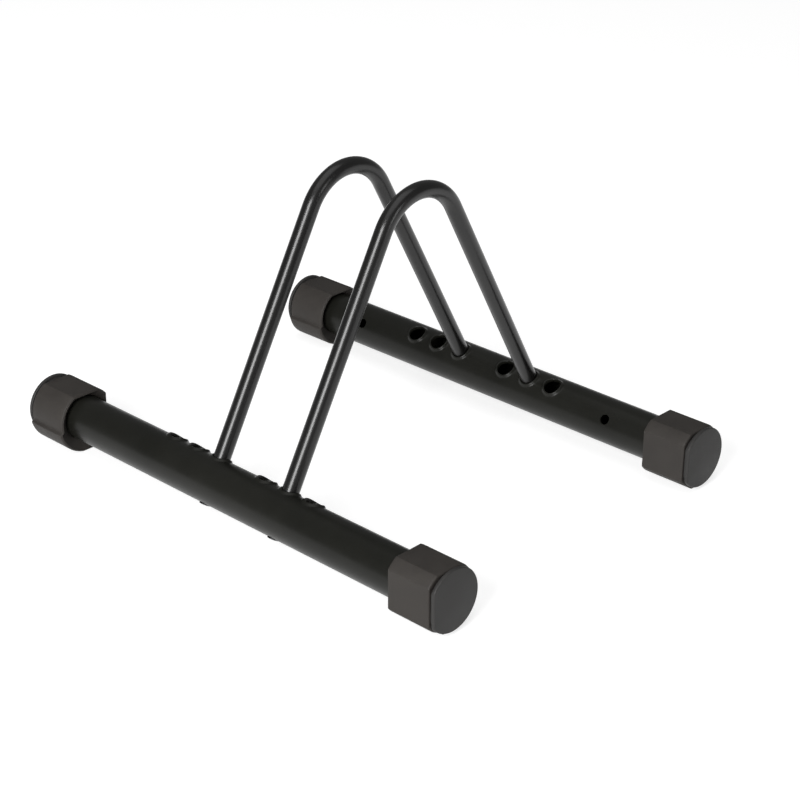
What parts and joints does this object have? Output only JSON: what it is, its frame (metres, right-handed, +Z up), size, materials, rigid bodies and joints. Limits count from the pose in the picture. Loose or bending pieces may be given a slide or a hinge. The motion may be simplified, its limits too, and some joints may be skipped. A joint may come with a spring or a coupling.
{
  "type": "floor bike rack",
  "caption": "Low floor stand for one bicycle: two drilled base tubes on moulded feet carry two splayed round hoops that hold the wheel upright between them.",
  "frame": {"origin": "on the floor under the middle of the rack, where the bottom of its bounding box is centred", "axes": "+Z up; the base tubes run along Y, with the front feet at -Y; the wheel rolls in along X; left is -X"},
  "size_m": [0.3572, 0.46, 0.2585],
  "materials": {
    "tube_paint": "satin black paint",
    "hoop_paint": "gloss black paint",
    "foot_moulding": "matt dark grey moulding",
    "plug_moulding": "matt dark grey moulding",
    "bolt_zinc": "zinc plated",
    "insert_steel": "plain steel"
  },
  "bodies": {
    "root": {"base_tube_left": "tube_paint", "base_tube_right": "tube_paint", "hoop_front": "hoop_paint", "hoop_rear": "hoop_paint", "foot_front_left": "foot_moulding", "foot_front_right": "foot_moulding", "foot_rear_left": "foot_moulding", "foot_rear_right": "foot_moulding", "end_plug_front_left": "plug_moulding", "end_plug_front_right": "plug_moulding", "end_plug_rear_left": "plug_moulding", "end_plug_rear_right": "plug_moulding", "leg_bolt_front_left": "bolt_zinc", "leg_bolt_front_right": "bolt_zinc", "leg_bolt_rear_left": "bolt_zinc", "leg_bolt_rear_right": "bolt_zinc", "leg_insert_front_left": "insert_steel", "leg_insert_front_right": "insert_steel", "leg_insert_rear_left": "insert_steel", "leg_insert_rear_right": "insert_steel"}
  },
  "joints": []
}
